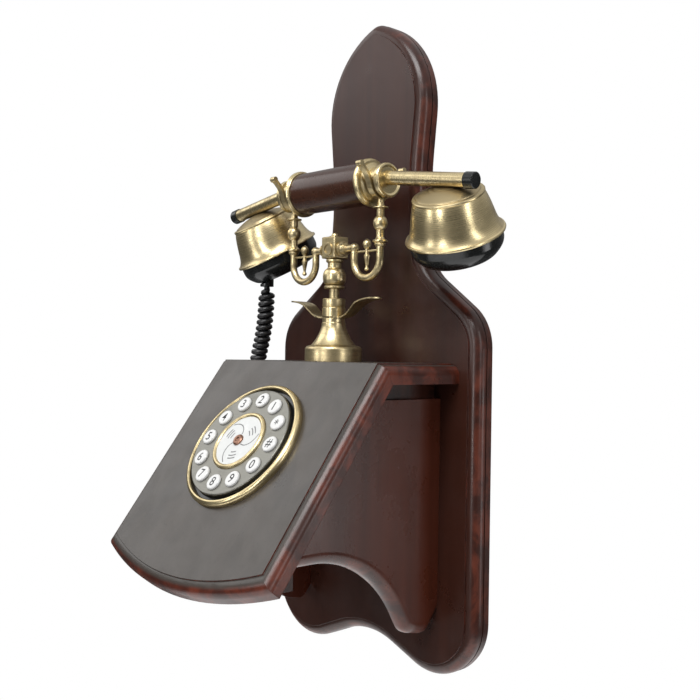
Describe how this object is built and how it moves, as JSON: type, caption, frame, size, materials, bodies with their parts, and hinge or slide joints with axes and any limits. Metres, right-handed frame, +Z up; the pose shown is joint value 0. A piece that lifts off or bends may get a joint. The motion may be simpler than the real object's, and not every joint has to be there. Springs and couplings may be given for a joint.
{
  "type": "wall telephone",
  "caption": "Antique-style wall telephone: shaped wooden wall board, sloping case with a round push-button dial, brass cradle column and a brass handset on a curly cord.",
  "frame": {"origin": "on the wall face, on the centre line, level with the top of the case's shelf", "axes": "+X to the viewer's right, +Y into the wall, +Z up; the front faces -Y"},
  "size_m": [0.2877, 0.2143, 0.5313],
  "materials": {
    "wood_panel": "dark mahogany stain under satin lacquer",
    "wood_case": "reddish dark mahogany stain under satin lacquer",
    "wood_grip": "dark red-brown lacquered turned wood",
    "antique_brass": "antique brushed brass with dark patina",
    "dial_gold": "pale satin brass",
    "copper": "satin copper-coloured plating",
    "black_plastic": "glossy black moulding",
    "button_white": "white moulding with black printed symbols",
    "card": "white card with a pale printed ornament",
    "circuit_green": "green circuit board",
    "steel": "zinc-plated steel",
    "capsule": "plain metal capsule",
    "cord_black": "black vinyl"
  },
  "bodies": {
    "case": {"front_panel": "wood_panel", "shelf": "wood_panel", "backboard": "wood_panel", "side_board_left": "wood_case", "side_board_right": "wood_case", "shelf_rails": "wood_case", "bottom_rail": "wood_case", "bottom_board": "wood_case", "cradle_base": "antique_brass", "cradle_collar": "antique_brass", "cradle_wings": "antique_brass", "dial_bezel": "antique_brass", "dial_inner_ring": "antique_brass", "dial_plate": "dial_gold", "dial_centre_cap": "copper", "dial_housing": "black_plastic", "handset_jack": "black_plastic", "line_jack": "black_plastic", "cord_plug": "black_plastic", "hook_switch": "black_plastic", "ringer": "black_plastic", "dial_card": "card", "circuit_board": "circuit_green", "keypad_board": "circuit_green", "hanger_plates": "steel", "case_screws": "steel", "cradle_spring": "steel", "curly_cord": "cord_black"},
    "cradle": {"cradle_stem": "antique_brass", "cradle_block": "antique_brass", "cradle_arm_left": "antique_brass", "cradle_arm_right": "antique_brass", "arm_pendants": "antique_brass", "arm_bars": "antique_brass", "cradle_fork_left": "antique_brass", "cradle_fork_right": "antique_brass"},
    "handset": {"handset_grip": "wood_grip", "handset_end_rings": "antique_brass", "handset_bosses": "antique_brass", "handset_tubes": "antique_brass", "tube_caps": "black_plastic", "receiver_cup": "antique_brass", "transmitter_cup": "antique_brass", "receiver_cap": "black_plastic", "transmitter_cap": "black_plastic", "receiver_capsule": "capsule", "transmitter_capsule": "capsule", "cord_gland": "black_plastic"},
    "key_1": {"button_1": "button_white"},
    "key_2": {"button_2": "button_white"},
    "key_3": {"button_3": "button_white"},
    "key_4": {"button_4": "button_white"},
    "key_5": {"button_5": "button_white"},
    "key_6": {"button_6": "button_white"},
    "key_7": {"button_7": "button_white"},
    "key_8": {"button_8": "button_white"},
    "key_9": {"button_9": "button_white"},
    "key_0": {"button_0": "button_white"},
    "key_star": {"button_star": "button_white"},
    "key_hash": {"button_hash": "button_white"}
  },
  "joints": [
    {"name": "handset_lift", "type": "slide", "parent": "case", "child": "handset", "axis": [0, 0, 1], "range_m": [0, 0.12]},
    {"name": "cradle_travel", "type": "slide", "parent": "case", "child": "cradle", "axis": [0, 0, 1], "range_m": [0, 0.006], "deforming": ["cradle_spring"]},
    {"name": "key_1_press", "type": "slide", "parent": "case", "child": "key_1", "axis": [0, 0.7986, -0.6018], "range_m": [0, 0.0016], "stiffness_N_per_m": 300, "springref_m": -0.001},
    {"name": "key_2_press", "type": "slide", "parent": "case", "child": "key_2", "axis": [0, 0.7986, -0.6018], "range_m": [0, 0.0016], "stiffness_N_per_m": 300, "springref_m": -0.001},
    {"name": "key_3_press", "type": "slide", "parent": "case", "child": "key_3", "axis": [0, 0.7986, -0.6018], "range_m": [0, 0.0016], "stiffness_N_per_m": 300, "springref_m": -0.001},
    {"name": "key_4_press", "type": "slide", "parent": "case", "child": "key_4", "axis": [0, 0.7986, -0.6018], "range_m": [0, 0.0016], "stiffness_N_per_m": 300, "springref_m": -0.001},
    {"name": "key_5_press", "type": "slide", "parent": "case", "child": "key_5", "axis": [0, 0.7986, -0.6018], "range_m": [0, 0.0016], "stiffness_N_per_m": 300, "springref_m": -0.001},
    {"name": "key_6_press", "type": "slide", "parent": "case", "child": "key_6", "axis": [0, 0.7986, -0.6018], "range_m": [0, 0.0016], "stiffness_N_per_m": 300, "springref_m": -0.001},
    {"name": "key_7_press", "type": "slide", "parent": "case", "child": "key_7", "axis": [0, 0.7986, -0.6018], "range_m": [0, 0.0016], "stiffness_N_per_m": 300, "springref_m": -0.001},
    {"name": "key_8_press", "type": "slide", "parent": "case", "child": "key_8", "axis": [0, 0.7986, -0.6018], "range_m": [0, 0.0016], "stiffness_N_per_m": 300, "springref_m": -0.001},
    {"name": "key_9_press", "type": "slide", "parent": "case", "child": "key_9", "axis": [0, 0.7986, -0.6018], "range_m": [0, 0.0016], "stiffness_N_per_m": 300, "springref_m": -0.001},
    {"name": "key_0_press", "type": "slide", "parent": "case", "child": "key_0", "axis": [0, 0.7986, -0.6018], "range_m": [0, 0.0016], "stiffness_N_per_m": 300, "springref_m": -0.001},
    {"name": "key_star_press", "type": "slide", "parent": "case", "child": "key_star", "axis": [0, 0.7986, -0.6018], "range_m": [0, 0.0016], "stiffness_N_per_m": 300, "springref_m": -0.001},
    {"name": "key_hash_press", "type": "slide", "parent": "case", "child": "key_hash", "axis": [0, 0.7986, -0.6018], "range_m": [0, 0.0016], "stiffness_N_per_m": 300, "springref_m": -0.001}
  ],
  "couplings": [
    {"joint": "cradle_travel", "follows": "handset_lift", "ratio": 0.05}
  ]
}
